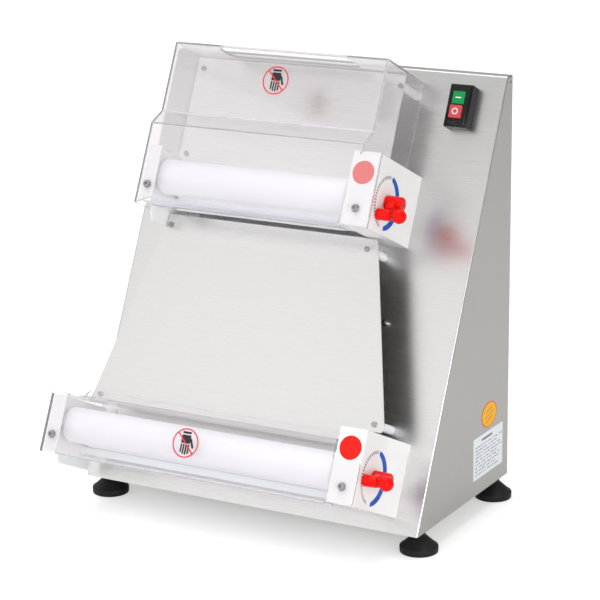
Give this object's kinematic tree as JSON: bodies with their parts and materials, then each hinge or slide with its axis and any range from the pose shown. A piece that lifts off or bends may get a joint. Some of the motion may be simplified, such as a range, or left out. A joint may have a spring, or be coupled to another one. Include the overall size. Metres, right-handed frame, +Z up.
{
  "type": "dough sheeter",
  "caption": "Free-standing two-stage dough sheeter: leaning steel cabinet with two pairs of white rollers, clear covers, a steel chute and red gap levers.",
  "frame": {"origin": "on the surface it stands on, at the middle of the bounding box", "axes": "+Z up, +X to the operator's right, -Y the front where the operator stands"},
  "size_m": [0.551, 0.4191, 0.6432],
  "materials": {
    "steel": "brushed",
    "bright_steel": "polished",
    "pale_paint": "satin",
    "clear_plastic": "gloss",
    "roller_white": "satin",
    "red_plastic": "gloss",
    "black_rubber": "matt",
    "black_plastic": "satin",
    "green_plastic": "gloss",
    "white_film": "satin",
    "red_film": "satin",
    "yellow_film": "satin",
    "bronze": "satin",
    "gear_steel": "machined",
    "grey_paint": "satin",
    "belt_rubber": "matt"
  },
  "bodies": {
    "cabinet": {"cabinet_shell": "steel", "back_panel": "steel", "back_screws": "bright_steel", "base_plate": "steel", "rubber_feet": "black_rubber", "foot_studs": "bright_steel", "cable_gland": "black_plastic", "chute_plate": "steel", "feed_plate": "steel", "standoffs": "roller_white", "plate_screws": "bright_steel", "data_label": "white_film", "rating_sticker": "yellow_film", "switch_housing": "black_plastic", "motor": "grey_paint", "motor_cradle": "grey_paint", "counter_bracket": "grey_paint", "capacitor": "roller_white", "motor_belt": "belt_rubber", "lower_belt": "belt_rubber", "upper_belt": "belt_rubber", "upper_hood": "clear_plastic", "lower_cover": "clear_plastic", "cover_screws": "bright_steel", "lower_badge": "white_film", "red_discs": "red_film", "lower_gear_box": "pale_paint", "lower_end_plate": "pale_paint", "lower_guide_plate": "gear_steel", "lower_bushes": "bronze", "lower_scraper": "roller_white", "upper_gear_box": "pale_paint", "upper_end_plate": "pale_paint", "upper_guide_plate": "gear_steel", "upper_bushes": "bronze", "upper_scraper": "roller_white"},
    "start_button": {"start_button": "green_plastic"},
    "stop_button": {"stop_button": "red_plastic"},
    "motor_shaft": {"motor_shaft": "gear_steel"},
    "countershaft": {"countershaft": "gear_steel"},
    "lower_rear_roller": {"lower_rear_roller": "roller_white", "lower_rear_shaft": "gear_steel", "lower_rear_gear": "gear_steel"},
    "lower_front_axle": {"lower_front_axle": "gear_steel"},
    "lower_front_roller": {"lower_front_roller": "roller_white", "lower_front_core": "gear_steel", "lower_front_gear": "gear_steel"},
    "lower_lever": {"lower_cam": "gear_steel", "lower_lever": "red_plastic"},
    "lower_plunger": {"lower_plunger": "red_plastic"},
    "upper_rear_roller": {"upper_rear_roller": "roller_white", "upper_rear_shaft": "gear_steel", "upper_rear_gear": "gear_steel"},
    "upper_front_axle": {"upper_front_axle": "gear_steel"},
    "upper_front_roller": {"upper_front_roller": "roller_white", "upper_front_core": "gear_steel", "upper_front_gear": "gear_steel"},
    "upper_lever": {"upper_cam": "gear_steel", "upper_lever": "red_plastic"},
    "upper_plunger": {"upper_plunger": "red_plastic"}
  },
  "joints": [
    {"name": "motor_spin", "type": "hinge", "parent": "cabinet", "child": "motor_shaft", "pos_m": [0.15, 0.10807, 0.109], "axis": [1, 0, 0], "continuous": true},
    {"name": "countershaft_spin", "type": "hinge", "parent": "cabinet", "child": "countershaft", "pos_m": [0.15, 0.12546, 0.39036], "axis": [1, 0, 0], "continuous": true},
    {"name": "lower_rear_spin", "type": "hinge", "parent": "cabinet", "child": "lower_rear_roller", "pos_m": [0.1895, -0.10583, 0.11016], "axis": [1, 0, 0], "continuous": true},
    {"name": "lower_lever_turn", "type": "hinge", "parent": "cabinet", "child": "lower_lever", "pos_m": [0.2285, -0.14655, 0.12932], "axis": [-1, 0, 0], "range_deg": [-64.1, 88.1]},
    {"name": "lower_gap_slide", "type": "slide", "parent": "cabinet", "child": "lower_front_axle", "axis": [0, -0.9049, 0.4257], "range_m": [-0.0029, 0.00211]},
    {"name": "lower_front_spin", "type": "hinge", "parent": "lower_front_axle", "child": "lower_front_roller", "pos_m": [0.1895, -0.15415, 0.1329], "axis": [1, 0, 0], "continuous": true},
    {"name": "lower_plunger_pull", "type": "slide", "parent": "lower_lever", "child": "lower_plunger", "axis": [1, 0, 0], "range_m": [0, 0.005], "stiffness_N_per_m": 400, "springref_m": -0.004},
    {"name": "upper_rear_spin", "type": "hinge", "parent": "cabinet", "child": "upper_rear_roller", "pos_m": [0.1285, 0.04913, 0.43953], "axis": [1, 0, 0], "continuous": true},
    {"name": "upper_lever_turn", "type": "hinge", "parent": "cabinet", "child": "upper_lever", "pos_m": [0.1675, 0.00841, 0.45869], "axis": [-1, 0, 0], "range_deg": [-32.1, 120.1]},
    {"name": "upper_gap_slide", "type": "slide", "parent": "cabinet", "child": "upper_front_axle", "axis": [0, -0.9049, 0.4257], "range_m": [-0.00395, 0.00105]},
    {"name": "upper_front_spin", "type": "hinge", "parent": "upper_front_axle", "child": "upper_front_roller", "pos_m": [0.1285, -0.00014, 0.46271], "axis": [1, 0, 0], "continuous": true},
    {"name": "upper_plunger_pull", "type": "slide", "parent": "upper_lever", "child": "upper_plunger", "axis": [1, 0, 0], "range_m": [0, 0.005], "stiffness_N_per_m": 400, "springref_m": -0.004},
    {"name": "start_press", "type": "slide", "parent": "cabinet", "child": "start_button", "axis": [0, 0.9049, -0.4257], "range_m": [0, 0.003], "stiffness_N_per_m": 500, "springref_m": -0.002},
    {"name": "stop_press", "type": "slide", "parent": "cabinet", "child": "stop_button", "axis": [0, 0.9049, -0.4257], "range_m": [0, 0.003], "stiffness_N_per_m": 500, "springref_m": -0.002}
  ],
  "couplings": [
    {"joint": "countershaft_spin", "follows": "motor_spin", "ratio": 1},
    {"joint": "lower_rear_spin", "follows": "motor_spin", "ratio": 1},
    {"joint": "lower_front_spin", "follows": "motor_spin", "ratio": -1},
    {"joint": "lower_lever_turn", "follows": "lower_gap_slide", "rad_per_m": -530.58},
    {"joint": "upper_rear_spin", "follows": "motor_spin", "ratio": 1},
    {"joint": "upper_front_spin", "follows": "motor_spin", "ratio": -1},
    {"joint": "upper_lever_turn", "follows": "upper_gap_slide", "rad_per_m": -530.58}
  ]
}
